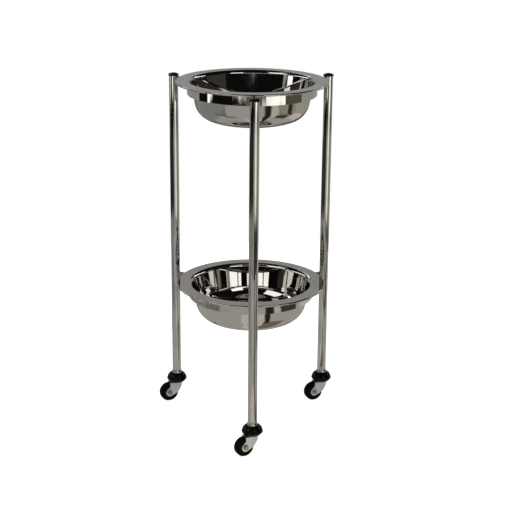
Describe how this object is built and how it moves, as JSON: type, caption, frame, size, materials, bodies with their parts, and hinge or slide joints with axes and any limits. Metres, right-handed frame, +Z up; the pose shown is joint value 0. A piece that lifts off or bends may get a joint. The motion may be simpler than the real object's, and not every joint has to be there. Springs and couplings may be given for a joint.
{
  "type": "wash basin stand",
  "caption": "Free-standing double wash basin stand: polished tubular legs on swivel castors carry two ring shelves, each holding a flanged lift-out basin.",
  "frame": {"origin": "centre of the stand's box in plan, on the floor under the wheels", "axes": "+Z up along the tubes, -Y from the stand's axis to the front tube, +X to the right of a person facing the stand from the front"},
  "size_m": [0.4446, 0.4236, 0.852],
  "materials": {
    "basin_steel": "mirror-polished stainless steel",
    "tube_steel": "polished stainless steel tube",
    "ring_steel": "polished stainless steel flat bar",
    "cap_plastic": "black moulded, satin",
    "socket_plastic": "black moulded",
    "castor_steel": "turned steel, bright",
    "fork_zinc": "pressed steel, bright zinc plated",
    "axle_steel": "yellowish zinc plated",
    "bumper_rubber": "black, slightly glossy",
    "tyre_rubber": "black rubber",
    "hub_plastic": "black moulded"
  },
  "bodies": {
    "stand_frame": {"upper_ring": "ring_steel", "lower_ring": "ring_steel", "leg_front": "tube_steel", "cap_front": "cap_plastic", "ferrule_front": "tube_steel", "stem_socket_front": "socket_plastic", "castor_stem_front": "castor_steel", "bumper_front": "bumper_rubber", "bearing_cup_front": "castor_steel", "upper_arm_front": "ring_steel", "lower_arm_front": "ring_steel", "leg_right": "tube_steel", "cap_right": "cap_plastic", "ferrule_right": "tube_steel", "stem_socket_right": "socket_plastic", "castor_stem_right": "castor_steel", "bumper_right": "bumper_rubber", "bearing_cup_right": "castor_steel", "upper_arm_right": "ring_steel", "lower_arm_right": "ring_steel", "leg_left": "tube_steel", "cap_left": "cap_plastic", "ferrule_left": "tube_steel", "stem_socket_left": "socket_plastic", "castor_stem_left": "castor_steel", "bumper_left": "bumper_rubber", "bearing_cup_left": "castor_steel", "upper_arm_left": "ring_steel", "lower_arm_left": "ring_steel"},
    "castor_front": {"fork_front": "fork_zinc", "bearing_balls_front": "castor_steel", "axle_bolt_front": "axle_steel", "axle_nut_front": "castor_steel"},
    "wheel_front": {"tyre_front": "tyre_rubber", "wheel_hub_front": "hub_plastic", "wheel_bush_front": "castor_steel"},
    "castor_right": {"fork_right": "fork_zinc", "bearing_balls_right": "castor_steel", "axle_bolt_right": "axle_steel", "axle_nut_right": "castor_steel"},
    "wheel_right": {"tyre_right": "tyre_rubber", "wheel_hub_right": "hub_plastic", "wheel_bush_right": "castor_steel"},
    "castor_left": {"fork_left": "fork_zinc", "bearing_balls_left": "castor_steel", "axle_bolt_left": "axle_steel", "axle_nut_left": "castor_steel"},
    "wheel_left": {"tyre_left": "tyre_rubber", "wheel_hub_left": "hub_plastic", "wheel_bush_left": "castor_steel"},
    "upper_basin": {"upper_basin": "basin_steel"},
    "lower_basin": {"lower_basin": "basin_steel"}
  },
  "joints": [
    {"name": "swivel_front", "type": "hinge", "parent": "stand_frame", "child": "castor_front", "pos_m": [0.00976, -0.18419, 0.0503], "axis": [0, 0, 1], "continuous": true},
    {"name": "roll_front", "type": "hinge", "parent": "castor_front", "child": "wheel_front", "pos_m": [-0.0101, -0.19475, 0.024], "axis": [0.4695, -0.8829, 0], "continuous": true},
    {"name": "swivel_right", "type": "hinge", "parent": "stand_frame", "child": "castor_right", "pos_m": [0.19682, 0.13981, 0.0503], "axis": [0, 0, 1], "continuous": true},
    {"name": "roll_right", "type": "hinge", "parent": "castor_right", "child": "wheel_right", "pos_m": [0.17582, 0.13175, 0.024], "axis": [0.3584, -0.9336, 0], "continuous": true},
    {"name": "swivel_left", "type": "hinge", "parent": "stand_frame", "child": "castor_left", "pos_m": [-0.1773, 0.13981, 0.0503], "axis": [0, 0, 1], "continuous": true},
    {"name": "roll_left", "type": "hinge", "parent": "castor_left", "child": "wheel_left", "pos_m": [-0.19816, 0.13138, 0.024], "axis": [0.3746, -0.9272, 0], "continuous": true},
    {"name": "upper_basin_lift", "type": "slide", "parent": "stand_frame", "child": "upper_basin", "axis": [0, 0, 1], "range_m": [0, 0.12]},
    {"name": "lower_basin_lift", "type": "slide", "parent": "stand_frame", "child": "lower_basin", "axis": [0, 0, 1], "range_m": [0, 0.12]}
  ]
}
